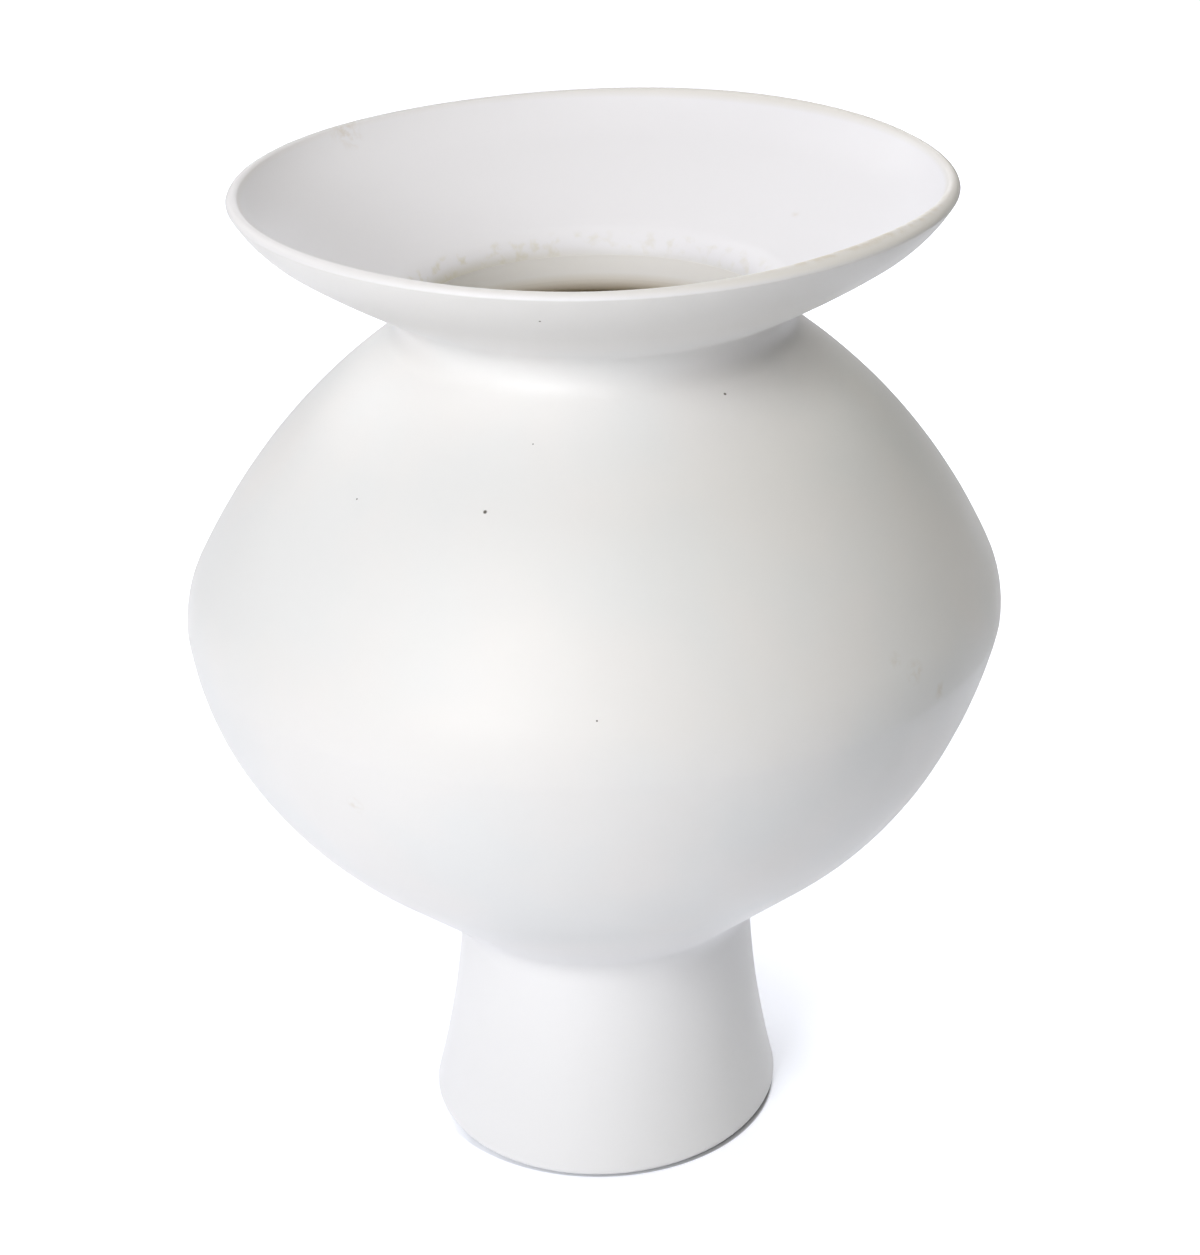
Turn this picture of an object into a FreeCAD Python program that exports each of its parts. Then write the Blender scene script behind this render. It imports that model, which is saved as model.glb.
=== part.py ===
import FreeCAD, Part
import Sketcher
import math
import os

# Pedestal jar of white stoneware, built the way a potter builds it: sections thrown on the
# wheel, luted together with slip, with soft coils worked into the joints.
# Millimetres, +Z up. The axis of the wheel is Z and the jar stands on the plane Z = 0.

# The sizes that a maker would choose. Each section has its own height, so that the next one
# rides up or down with it.
sizes = {
    # all luted joints: the layer of slip between two sections
    "slip_thickness": 1.0,

    # the hollow pedestal foot, open underneath
    "foot_height": 79.8,
    "foot_base_radius": 68.5,
    "foot_top_radius": 54.5,
    "foot_flank_radius": 347.0,
    "foot_base_wall": 7.0,
    "foot_top_wall": 8.0,
    "foot_edge_bevel": 1.5,
    "foot_bead_radius": 8.0,
    "foot_coil_reach": 9.0,

    # the two bowls of the belly, joined rim to rim at the waist
    "bowl_wall": 6.0,
    "floor_thickness": 8.0,
    "lower_bowl_height": 123.6,
    "lower_ridge_radius": 17.5,
    "waist_radius": 147.3,
    "waist_bevel": 2.0,
    "waist_coil_rise": 2.5,
    "waist_coil_radius": 20.0,
    "upper_bowl_height": 103.7,
    "upper_ridge_radius": 39.5,
    "upper_curve_radius": 219.5,

    # the neck, where the mouth stands on the cut edge of the upper bowl
    "neck_radius": 67.0,
    "neck_wall": 4.5,
    "neck_coil_reach": 7.0,

    # the flared mouth
    "collar_height": 7.0,
    "mouth_height": 51.3,
    "rim_radius": 124.5,
    "rim_rise_angle": 61.0,
    "flare_curve_radius": 288.0,
    "curl_radius": 50.0,
    "lip_thickness": 4.5,
    "lip_crown_radius": 3.0,
    "throat_roll_radius": 6.0,

    # the glassy liner inside, which stops just under the throat's roll
    "liner_thickness": 0.6,
    "liner_stop_height": 3.0,
}

# How far out and up the lower bowl's straight flank runs, of the way from foot to waist
flank_shares = {"flank_run_share": 0.486, "flank_rise_share": 0.306}

doc = FreeCAD.newDocument("pedestal_jar")
dims = doc.addObject("Spreadsheet::Sheet", "dims")
sheet_rows = []


def put(alias, content):
    """Write one named cell: a plain number, or a formula of other named cells."""
    sheet_rows.append(alias)
    row = len(sheet_rows)
    dims.set("A" + str(row), alias)
    dims.set("B" + str(row), str(content))
    dims.setAlias("B" + str(row), alias)


def put_point(alias, r_formula, z_formula):
    """A place in the outline plane: radius from the axis, and height."""
    put(alias + "_r", "=" + r_formula)
    put(alias + "_z", "=" + z_formula)


def put_meeting(alias, first, first_reach, second, second_reach, side):
    """Where a circle about one named place meets a circle about another, on the left (+) or
    right (-) of the line from the first to the second."""
    run_r = f"({second}_r - {first}_r)"
    run_z = f"({second}_z - {first}_z)"
    other = "-" if side == "+" else "+"
    put(alias + "_span", f"=sqrt({run_r}^2 + {run_z}^2)")
    put(alias + "_along", f"=(({first_reach})^2 - ({second_reach})^2 + {alias}_span^2) / (2 * {alias}_span)")
    put(alias + "_across", f"=sqrt(({first_reach})^2 - {alias}_along^2)")
    put_point(
        alias,
        f"{first}_r + ({alias}_along * {run_r} {other} {alias}_across * {run_z}) / {alias}_span",
        f"{first}_z + ({alias}_along * {run_z} {side} {alias}_across * {run_r}) / {alias}_span",
    )


def put_touch(alias, start, target, reach, span):
    """The place at a given reach from one named place, in line with another one span away."""
    put_point(
        alias,
        f"{start}_r + ({target}_r - {start}_r) * ({reach}) / ({span})",
        f"{start}_z + ({target}_z - {start}_z) * ({reach}) / ({span})",
    )


def put_at_height(alias, centre, reach, height):
    """The outer place at a given height on a circle about a named place."""
    put_point(alias, f"{centre}_r + sqrt(({reach})^2 - ({height} - {centre}_z)^2)", height)


def put_at_radius(alias, centre, reach, radius):
    """The upper place at a given distance from the axis on a circle about a named place."""
    put_point(alias, radius, f"{centre}_z + sqrt(({reach})^2 - ({radius} - {centre}_r)^2)")


def put_across(alias, start, reach):
    """The place at a given reach square to the lower bowl's flank, on its inner side."""
    put_point(alias, f"{start}_r - {reach} * flank_sin", f"{start}_z + {reach} * flank_cos")


def put_down_flank(alias, start, height):
    """The place at a given height on the line through a named place along the flank's slope."""
    put_point(alias, f"{start}_r - ({start}_z - {height}) * flank_cos / flank_sin", height)


for alias, value in (sizes | flank_shares).items():
    put(alias, value)

# Heights and radii of the joint faces
put("bowl_seat_height", "=foot_height + slip_thickness")
put("floor_top_height", "=bowl_seat_height + floor_thickness")
put("waist_low_height", "=bowl_seat_height + lower_bowl_height")
put("waist_high_height", "=waist_low_height + slip_thickness")
put("neck_seat_height", "=waist_high_height + upper_bowl_height")
put("collar_base_height", "=neck_seat_height + slip_thickness")
put("flare_height", "=collar_base_height + collar_height")
put("rim_height", "=collar_base_height + mouth_height")
put("liner_top_height", "=collar_base_height + liner_stop_height")
put("throat_radius", "=neck_radius - neck_wall")
put("foot_bore_radius", "=foot_base_radius - foot_base_wall")
put("foot_top_bore_radius", "=foot_top_radius - foot_top_wall")
put("foot_sole_radius", "=foot_base_radius - foot_edge_bevel")
put("foot_sole_bore_radius", "=foot_bore_radius + foot_edge_bevel")

# The lower bowl's wall: a straight flank up from the foot, then one long arc, then a short
# one that stands upright at the waist. The inside is the same line again, one wall further
# in, and the rim rises on the inside to a bevel.
put_point("bowl_foot", "foot_top_radius", "bowl_seat_height")
put_point("flank_top", "bowl_foot_r + flank_run_share * (waist_radius - bowl_foot_r)",
          "bowl_foot_z + flank_rise_share * lower_bowl_height")
put("flank_length", "=sqrt((flank_top_r - bowl_foot_r)^2 + (flank_top_z - bowl_foot_z)^2)")
put("flank_cos", "=(flank_top_r - bowl_foot_r) / flank_length")
put("flank_sin", "=(flank_top_z - bowl_foot_z) / flank_length")
put_point("lower_ridge", "waist_radius - lower_ridge_radius", "waist_low_height")
put("ridge_span", "=sqrt((lower_ridge_r - flank_top_r)^2 + (lower_ridge_z - flank_top_z)^2)")
put("ridge_across", "=(lower_ridge_z - flank_top_z) * flank_cos - (lower_ridge_r - flank_top_r) * flank_sin")
put("lower_curve_radius",
    "=(ridge_span^2 - lower_ridge_radius^2) / (2 * (ridge_across - lower_ridge_radius))")
put("lower_inner_radius", "=lower_curve_radius - bowl_wall")
put("lower_ridge_inner_radius", "=lower_ridge_radius - bowl_wall")
put("lower_span", "=lower_curve_radius - lower_ridge_radius")
put("waist_bore_radius", "=waist_radius - bowl_wall")
put_across("lower_centre", "flank_top", "lower_curve_radius")
put_touch("lower_turn", "lower_centre", "lower_ridge", "lower_curve_radius", "lower_span")
put_touch("lower_inner_turn", "lower_centre", "lower_ridge", "lower_inner_radius", "lower_span")
put_across("inner_flank_top", "flank_top", "bowl_wall")
put_down_flank("floor_edge", "inner_flank_top", "floor_top_height")
put_point("lower_lip", "waist_bore_radius", "waist_low_height + waist_bevel")

# The upper bowl's wall: a softer arc over the waist, then the long shoulder
put("upper_inner_radius", "=upper_curve_radius - bowl_wall")
put("upper_ridge_inner_radius", "=upper_ridge_radius - bowl_wall")
put("upper_span", "=upper_curve_radius - upper_ridge_radius")
put_point("neck_seat", "neck_radius", "neck_seat_height")
put_point("upper_ridge", "waist_radius - upper_ridge_radius", "waist_high_height")
put_meeting("upper_centre", "neck_seat", "upper_curve_radius", "upper_ridge", "upper_span", "-")
put_touch("upper_turn", "upper_centre", "upper_ridge", "upper_curve_radius", "upper_span")
put_touch("upper_inner_turn", "upper_centre", "upper_ridge", "upper_inner_radius", "upper_span")
put_at_height("upper_lip", "upper_ridge", "upper_ridge_inner_radius", "waist_high_height + waist_bevel")
put_at_radius("upper_bore", "upper_centre", "upper_inner_radius", "throat_radius")

# The mouth: a long flare, a tighter curl up to the lip, and the roll into the throat
put("flare_inner_radius", "=flare_curve_radius - lip_thickness")
put("curl_inner_radius", "=curl_radius - lip_thickness")
put("flare_span", "=flare_curve_radius - curl_radius")
put("roll_span", "=flare_inner_radius + throat_roll_radius")
put_point("flare_foot", "neck_radius", "flare_height")
put_point("rim_edge", "rim_radius", "rim_height - lip_thickness * cos(rim_rise_angle * 1deg)")
put_point("rim_inner", "rim_radius - lip_thickness * sin(rim_rise_angle * 1deg)", "rim_height")
put_point("curl", "rim_edge_r - curl_radius * sin(rim_rise_angle * 1deg)",
          "rim_edge_z + curl_radius * cos(rim_rise_angle * 1deg)")
put_meeting("flare_centre", "flare_foot", "flare_curve_radius", "curl", "flare_span", "+")
put_touch("flare_turn", "flare_centre", "curl", "flare_curve_radius", "flare_span")
put_touch("flare_inner_turn", "flare_centre", "curl", "flare_inner_radius", "flare_span")
put("roll_r", "=throat_radius + throat_roll_radius")
put("roll_z", "=flare_centre_z - sqrt(roll_span^2 - (roll_r - flare_centre_r)^2)")
put_touch("roll_start", "flare_centre", "roll", "flare_inner_radius", "roll_span")

# The foot's flank, and the bead of slip wiped into the corner under the belly
put_point("foot_base", "foot_base_radius", "foot_edge_bevel")
put_point("foot_top", "foot_top_radius", "foot_height")
put_meeting("flank_centre", "foot_base", "foot_flank_radius", "foot_top", "foot_flank_radius", "-")
put("flank_bead_span", "=foot_flank_radius - foot_bead_radius")
put_across("bead_line", "bowl_foot", "-foot_bead_radius")
put_point("bead_way", "flank_centre_r - bead_line_r", "flank_centre_z - bead_line_z")
put("bead_along", "=bead_way_r * flank_cos + bead_way_z * flank_sin")
put("bead_across", "=bead_way_z * flank_cos - bead_way_r * flank_sin")
put("bead_run", "=bead_along - sqrt(flank_bead_span^2 - bead_across^2)")
put_point("bead", "bead_line_r + bead_run * flank_cos", "bead_line_z + bead_run * flank_sin")
put_across("bead_top", "bead", "foot_bead_radius")
put_touch("bead_foot", "flank_centre", "bead", "foot_flank_radius", "flank_bead_span")

# The coil inside the foot, smooth from the bore to the underside of the belly
put("bore_length", "=sqrt((foot_bore_radius - foot_top_bore_radius)^2 + (foot_height - foot_edge_bevel)^2)")
put("bore_sin", "=(foot_bore_radius - foot_top_bore_radius) / bore_length")
put("bore_cos", "=(foot_height - foot_edge_bevel) / bore_length")
put_point("foot_coil_foot", "foot_top_bore_radius + foot_coil_reach * bore_sin",
          "foot_height - foot_coil_reach * bore_cos")
put("foot_coil_radius", "=(bowl_seat_height - foot_coil_foot_z) / (1 - bore_sin)")
put("foot_coil_top_radius", "=foot_coil_foot_r - foot_coil_radius * bore_cos")

# The coil inside the waist, a low swelling across the joint
put_point("waist_coil", "waist_bore_radius - waist_coil_rise + waist_coil_radius",
          "waist_low_height + slip_thickness / 2")
put_meeting("waist_coil_foot", "lower_centre", "lower_inner_radius",
            "waist_coil", "waist_coil_radius", "-")
put_meeting("waist_coil_top", "upper_ridge", "upper_ridge_inner_radius",
            "waist_coil", "waist_coil_radius", "+")

# The coil around the outside of the neck. It reaches a set way down the shoulder, and its
# hollow face leaves the shoulder and meets the flare smoothly.
put_meeting("neck_coil_foot", "upper_centre", "upper_curve_radius",
            "neck_seat", "neck_coil_reach", "-")
put_point("neck_coil_out", "(neck_coil_foot_r - upper_centre_r) / upper_curve_radius",
          "(neck_coil_foot_z - upper_centre_z) / upper_curve_radius")
put_point("neck_coil_way", "neck_coil_foot_r - flare_centre_r",
          "neck_coil_foot_z - flare_centre_z")
put("neck_coil_lean", "=neck_coil_way_r * neck_coil_out_r + neck_coil_way_z * neck_coil_out_z")
put("neck_coil_gap", "=neck_coil_way_r^2 + neck_coil_way_z^2 - flare_curve_radius^2")
put("neck_coil_radius", "=neck_coil_gap / (2 * (flare_curve_radius - neck_coil_lean))")
put_point("neck_coil", "neck_coil_foot_r + neck_coil_radius * neck_coil_out_r",
          "neck_coil_foot_z + neck_coil_radius * neck_coil_out_z")
put_touch("neck_coil_top", "flare_centre", "neck_coil",
          "flare_curve_radius", "flare_curve_radius + neck_coil_radius")

# The liner's inner face: every arc of the inside again, one glaze thickness further in
put("liner_lower_radius", "=lower_inner_radius - liner_thickness")
put("liner_coil_radius", "=waist_coil_radius + liner_thickness")
put("liner_ridge_radius", "=upper_ridge_inner_radius - liner_thickness")
put("liner_upper_radius", "=upper_inner_radius - liner_thickness")
put("liner_floor_height", "=floor_top_height + liner_thickness")
put("liner_bore_radius", "=throat_radius - liner_thickness")
put_across("liner_flank_top", "inner_flank_top", "liner_thickness")
put_down_flank("liner_floor_edge", "liner_flank_top", "liner_floor_height")
put_meeting("liner_coil_foot", "lower_centre", "liner_lower_radius",
            "waist_coil", "liner_coil_radius", "-")
put_meeting("liner_coil_top", "upper_ridge", "liner_ridge_radius",
            "waist_coil", "liner_coil_radius", "+")
put_touch("liner_turn", "upper_centre", "upper_ridge", "liner_upper_radius", "upper_span")
put_at_radius("liner_bore", "upper_centre", "liner_upper_radius", "liner_bore_radius")

doc.recompute()


def size(alias):
    """The number in a named cell; a bare 0 is the axis or the table."""
    return float(getattr(dims, alias)) if alias else 0.0


def arc_between(start, end, radius, turn):
    """The short arc from start to end, turning left (+1) or right (-1) as it goes."""
    chord = end - start
    middle = (start + end) * 0.5
    rise = math.sqrt(radius * radius - chord.Length * chord.Length / 4)
    across = FreeCAD.Vector(-chord.y, chord.x, 0) * (turn * rise / chord.Length)
    centre = middle + across
    begin = start if turn > 0 else end
    finish = end if turn > 0 else start
    angles = [math.atan2(spot.y - centre.y, spot.x - centre.x) for spot in (begin, finish)]
    circle = Part.Circle(centre, FreeCAD.Vector(0, 0, 1), radius)
    return Part.ArcOfCircle(circle, angles[0], angles[1])


def turned_piece(label, corners):
    """One section thrown on the wheel: a closed outline beside the axis, turned all the way
    round. Each corner is (radius cell, height cell, edge to the next corner), and an edge is
    None for a straight one or (radius cell, turn) for an arc."""
    body = doc.addObject("PartDesign::Body", label)
    body.Label = label
    plane = [item for item in body.Origin.OriginFeatures if item.Role == "XZ_Plane"][0]
    sketch = body.newObject("Sketcher::SketchObject", label + "_outline")
    sketch.AttachmentSupport = [(plane, "")]
    sketch.MapMode = "FlatFace"

    places = [FreeCAD.Vector(size(r), size(z), 0) for r, z, edge in corners]
    count = len(corners)
    for i, (r, z, edge) in enumerate(corners):
        start, end = places[i], places[(i + 1) % count]
        if edge:
            sketch.addGeometry(arc_between(start, end, size(edge[0]), edge[1]), False)
        else:
            sketch.addGeometry(Part.LineSegment(start, end), False)

    # An arc that turns right is stored from its far end, so its first point is number 2.
    firsts = [2 if edge and edge[1] < 0 else 1 for r, z, edge in corners]
    for i, (r, z, edge) in enumerate(corners):
        after = (i + 1) % count
        sketch.addConstraint(Sketcher.Constraint("Coincident", i, 3 - firsts[i], after, firsts[after]))
    for i, (r, z, edge) in enumerate(corners):
        for kind, cell, axis in (("DistanceX", r, -2), ("DistanceY", z, -1)):
            if cell:
                number = sketch.addConstraint(
                    Sketcher.Constraint(kind, -1, 1, i, firsts[i], size(cell)))
                sketch.setExpression(f"Constraints[{number}]", "dims." + cell)
            else:
                sketch.addConstraint(Sketcher.Constraint("PointOnObject", i, firsts[i], axis))
        if edge:
            number = sketch.addConstraint(Sketcher.Constraint("Radius", i, size(edge[0])))
            sketch.setExpression(f"Constraints[{number}]", "dims." + edge[0])

    turned = body.newObject("PartDesign::Revolution", label + "_turned")
    turned.Profile = sketch
    turned.ReferenceAxis = (sketch, ["V_Axis"])
    turned.Angle = 360.0
    sketch.Visibility = False
    return body


def corner(place, edge=None):
    """A corner at a named place."""
    return (place + "_r", place + "_z", edge)


pieces = []

# The pedestal foot, a hollow cone with a slightly drawn-in flank, bevelled where it stands
pieces.append(turned_piece("pedestal_foot", [
    ("foot_sole_bore_radius", 0, None),
    ("foot_sole_radius", 0, None),
    ("foot_base_radius", "foot_edge_bevel", ("foot_flank_radius", -1)),
    ("foot_top_radius", "foot_height", None),
    ("foot_top_bore_radius", "foot_height", None),
    ("foot_bore_radius", "foot_edge_bevel", None),
]))

# The slip between foot and belly, wiped to a small bead in the outside corner
pieces.append(turned_piece("foot_joint_slip", [
    ("foot_top_bore_radius", "foot_height", None),
    ("foot_top_radius", "foot_height", ("foot_flank_radius", 1)),
    corner("bead_foot", ("foot_bead_radius", -1)),
    corner("bead_top"),
    ("foot_top_radius", "bowl_seat_height", None),
    ("foot_top_bore_radius", "bowl_seat_height", None),
]))

# The coil thumbed into the inside corner between the foot's bore and the belly's base
pieces.append(turned_piece("foot_coil", [
    corner("foot_coil_foot"),
    ("foot_top_bore_radius", "foot_height", None),
    ("foot_top_bore_radius", "bowl_seat_height", None),
    ("foot_coil_top_radius", "bowl_seat_height", ("foot_coil_radius", -1)),
]))

# The lower bowl, with the jar's floor
pieces.append(turned_piece("lower_bowl", [
    (0, "bowl_seat_height", None),
    ("foot_top_radius", "bowl_seat_height", None),
    corner("flank_top", ("lower_curve_radius", 1)),
    corner("lower_turn", ("lower_ridge_radius", 1)),
    ("waist_radius", "waist_low_height", None),
    corner("lower_lip"),
    ("waist_bore_radius", "waist_low_height", ("lower_ridge_inner_radius", -1)),
    corner("lower_inner_turn", ("lower_inner_radius", -1)),
    corner("inner_flank_top"),
    corner("floor_edge"),
    (0, "floor_top_height", None),
]))

# The slip between the bevelled rims of the two bowls
pieces.append(turned_piece("waist_joint_slip", [
    ("waist_radius", "waist_low_height", None),
    ("waist_radius", "waist_high_height", None),
    corner("upper_lip"),
    corner("lower_lip"),
]))

# The coil smoothed over the waist joint on the inside
pieces.append(turned_piece("waist_coil", [
    corner("waist_coil_foot", ("lower_inner_radius", 1)),
    corner("lower_inner_turn", ("lower_ridge_inner_radius", 1)),
    ("waist_bore_radius", "waist_low_height", None),
    corner("lower_lip"),
    corner("upper_lip", ("upper_ridge_inner_radius", 1)),
    corner("waist_coil_top", ("waist_coil_radius", 1)),
]))

# The upper bowl, thrown rim down and turned over, its base cut away for the neck
pieces.append(turned_piece("upper_bowl", [
    ("waist_radius", "waist_high_height", ("upper_ridge_radius", 1)),
    corner("upper_turn", ("upper_curve_radius", 1)),
    ("neck_radius", "neck_seat_height", None),
    ("throat_radius", "neck_seat_height", None),
    corner("upper_bore", ("upper_inner_radius", -1)),
    corner("upper_inner_turn", ("upper_ridge_inner_radius", -1)),
    corner("upper_lip"),
]))

# The slip under the mouth's collar
pieces.append(turned_piece("neck_joint_slip", [
    ("throat_radius", "neck_seat_height", None),
    ("neck_radius", "neck_seat_height", None),
    ("neck_radius", "collar_base_height", None),
    ("throat_radius", "collar_base_height", None),
]))

# The coil worked into the outside of the neck, a smooth hollow from shoulder to flare
pieces.append(turned_piece("neck_coil", [
    ("neck_radius", "neck_seat_height", ("upper_curve_radius", -1)),
    corner("neck_coil_foot", ("neck_coil_radius", -1)),
    corner("neck_coil_top", ("flare_curve_radius", -1)),
    ("neck_radius", "flare_height", None),
]))

# The flared mouth on its short collar
pieces.append(turned_piece("flared_mouth", [
    ("throat_radius", "collar_base_height", None),
    ("neck_radius", "collar_base_height", None),
    ("neck_radius", "flare_height", ("flare_curve_radius", 1)),
    corner("flare_turn", ("curl_radius", 1)),
    corner("rim_edge", ("lip_crown_radius", 1)),
    corner("rim_inner", ("curl_inner_radius", -1)),
    corner("flare_inner_turn", ("flare_inner_radius", -1)),
    corner("roll_start", ("throat_roll_radius", 1)),
    ("throat_radius", "roll_z", None),
]))

# The glassy liner on the whole inside of the belly
pieces.append(turned_piece("liner_glaze", [
    (0, "floor_top_height", None),
    corner("floor_edge"),
    corner("inner_flank_top", ("lower_inner_radius", 1)),
    corner("waist_coil_foot", ("waist_coil_radius", -1)),
    corner("waist_coil_top", ("upper_ridge_inner_radius", 1)),
    corner("upper_inner_turn", ("upper_inner_radius", 1)),
    corner("upper_bore"),
    ("throat_radius", "liner_top_height", None),
    ("liner_bore_radius", "liner_top_height", None),
    corner("liner_bore", ("liner_upper_radius", -1)),
    corner("liner_turn", ("liner_ridge_radius", -1)),
    corner("liner_coil_top", ("liner_coil_radius", 1)),
    corner("liner_coil_foot", ("liner_lower_radius", -1)),
    corner("liner_flank_top"),
    corner("liner_floor_edge"),
    (0, "liner_floor_height", None),
]))

doc.recompute()

for item in doc.Objects:
    if "Invalid" in item.State or "Error" in item.State:
        raise RuntimeError(item.Name + " did not build")
for piece in pieces:
    if piece.Shape.isNull() or not piece.Shape.isValid() or piece.Shape.Volume <= 0:
        raise RuntimeError(piece.Label + " has no valid solid")

os.makedirs("parts", exist_ok=True)
for piece in pieces:
    piece.Shape.exportStep(os.path.join("parts", piece.Label + ".step"))
    print(piece.Label, "solids", len(piece.Shape.Solids), "volume", round(piece.Shape.Volume))
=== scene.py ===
import math

import bmesh
import bpy
from mathutils import Matrix, Vector, noise


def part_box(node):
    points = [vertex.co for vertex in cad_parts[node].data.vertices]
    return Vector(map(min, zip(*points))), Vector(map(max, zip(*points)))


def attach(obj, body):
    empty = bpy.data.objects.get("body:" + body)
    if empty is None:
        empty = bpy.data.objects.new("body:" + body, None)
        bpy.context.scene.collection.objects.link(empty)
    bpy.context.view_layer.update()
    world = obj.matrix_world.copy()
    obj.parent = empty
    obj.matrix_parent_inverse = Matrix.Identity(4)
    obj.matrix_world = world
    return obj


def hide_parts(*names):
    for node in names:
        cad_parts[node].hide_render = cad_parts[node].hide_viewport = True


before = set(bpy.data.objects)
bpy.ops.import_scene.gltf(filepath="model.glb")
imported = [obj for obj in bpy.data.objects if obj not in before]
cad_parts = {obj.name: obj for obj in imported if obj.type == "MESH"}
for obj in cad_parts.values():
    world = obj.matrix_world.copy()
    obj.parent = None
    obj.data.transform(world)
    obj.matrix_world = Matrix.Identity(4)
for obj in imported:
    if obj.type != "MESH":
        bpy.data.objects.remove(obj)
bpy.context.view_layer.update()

# Pedestal foot
# A hollow cone of white stoneware, thrown on the wheel as a short tube, turned over and drawn in
# at the top. It stands on a narrow ring of bare clay and is left open underneath. Sizes are in mm.
MM = 0.001
foot_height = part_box("pedestal_foot")[1].z / MM
foot_base_radius = 68.8
foot_top_radius = 54.5
foot_flank_radius = 347.0
foot_base_wall = 7.0
foot_top_wall = 8.0
sole_bevel = 1.5
sole_bevel_radius = 1.65

# How finely every outline is drawn and spun: the steps along it, the turns in its arcs, the stops
# of the wheel, the gap under which two points are one, and the turn past which an edge is crisp.
outline_step = 3.0
outline_turn = 2.0
wheel_steps = 144
weld_gap = 0.004
crease_turn = 30.0


def towards(heading):
    """One step along a heading, as (outwards, up). It is in degrees up from level outwards."""
    return Vector((math.cos(math.radians(heading)), math.sin(math.radians(heading))))


def pen(start, heading, strokes, step=outline_step, turn_step=outline_turn):
    """Draw an outline as (radius, height). A stroke is (length,) or (radius, turn): an arc that
    turns left, or right if its radius is negative."""
    points = [Vector(start)]
    for stroke in strokes:
        if len(stroke) == 1:
            run = towards(heading) * stroke[0]
            count = max(1, round(stroke[0] / step))
            points += [points[-1] + run * (i + 1) / count for i in range(count)]
            continue
        radius, turn = stroke
        turn_left = math.copysign(turn, radius)
        centre = points[-1] + towards(heading + 90) * radius
        arc = abs(radius) * math.radians(turn)
        count = max(1, math.ceil(arc / step), math.ceil(turn / turn_step))
        for i in range(count):
            across = towards(heading + 90 + turn_left * (i + 1) / count)
            points.append(centre - across * radius)
        heading += turn_left
    return points


def bow(start, end, radius, step=outline_step, turn_step=outline_turn):
    """The short arc between two places, turning left, or right if its radius is negative."""
    chord = Vector(end) - Vector(start)
    half = math.degrees(math.asin(chord.length / 2 / abs(radius)))
    heading = math.degrees(math.atan2(chord.y, chord.x)) - math.copysign(half, radius)
    return pen(start, heading, [(radius, 2 * half)], step, turn_step)


def straight(start, end, step=outline_step):
    """A straight line between two places."""
    run = Vector(end) - Vector(start)
    return pen(start, math.degrees(math.atan2(run.y, run.x)), [(run.length,)], step)


def part_of(line, low, high=math.inf, axis=1):
    """The part of an outline that lies between two heights, or two radii for axis 0."""
    kept = []
    for here, there in zip(line, line[1:]):
        if low <= here[axis] <= high:
            kept.append(here)
        run = there[axis] - here[axis]
        shares = [(level - here[axis]) / run for level in (low, high)] if run else []
        kept += [here.lerp(there, share) for share in sorted(shares) if 0 < share < 1]
    if low <= line[-1][axis] <= high:
        kept.append(line[-1])
    return kept


foot_flank = part_of(bow((foot_base_radius, 0), (foot_top_radius, foot_height), -foot_flank_radius),
                     sole_bevel, foot_height)
bore_top = (foot_top_radius - foot_top_wall, foot_height)
bore_base = (foot_base_radius - foot_base_wall, sole_bevel)
sole_outer = (foot_flank[0].x - sole_bevel, 0)
sole_inner = (bore_base[0] + sole_bevel, 0)
outer_edge = bow(sole_outer, foot_flank[0], sole_bevel_radius, step=0.4, turn_step=10.0)
inner_edge = bow(bore_base, sole_inner, sole_bevel_radius, step=0.4, turn_step=10.0)

# The jar is a little off true, as a jar that was joined from thrown sections is. From the table up
# its axis wanders right, left and right again, and its sections lean, here as (height, mm) and
# (height, degrees). Its foot is slightly oval. Its rim waves, each wave as (how many go round, its
# cosine and sine parts). Its skin swells and sinks everywhere, as (depth, width).
axis_drift = (
    (0, 1.0), (40, 1.44), (80, 2.2), (105, 2.68), (125, 2.26), (145, 0.59), (165, -0.9),
    (185, -0.9), (205, -0.03), (245, 1.33), (318, 2.32), (365, 2.56))
section_lean = (
    (0, 0.0), (40, 1.92), (80, 2.72), (125, 1.91), (165, 0.63), (205, 0.0), (318, 0.11), (365, 0.3))
foot_oval_share = 0.041
foot_oval_angle = 78.0
foot_oval_end = 86.0
rim_waves = ((2, 0.13, 0.41), (3, -0.35, -0.38), (4, -0.23, -0.12))
rim_back_lean = 0.46
rim_fade = (318.0, 360.0)
fade_power = 1.5
skin_swells = ((0.16, 70.0), (0.06, 26.0))
swell_least_radius = 20.0


def read_off(table, height):
    """A smooth reading, at any height, of a table of (height, value)."""
    heights, values = zip(*table)
    last = len(heights) - 1
    height = min(max(height, heights[0]), heights[last])
    i = min(max(sum(level <= height for level in heights) - 1, 0), last - 1)
    slopes = []
    for j in (i, i + 1):
        before, after = max(j - 1, 0), min(j + 1, last)
        slopes.append((values[after] - values[before]) / (heights[after] - heights[before]))
    span = heights[i + 1] - heights[i]
    t = (height - heights[i]) / span
    from_here = values[i] * (1 + 2 * t) * (1 - t) ** 2 + slopes[0] * span * t * (1 - t) ** 2
    from_there = values[i + 1] * t * t * (3 - 2 * t) + slopes[1] * span * t * t * (t - 1)
    return from_here + from_there


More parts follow.
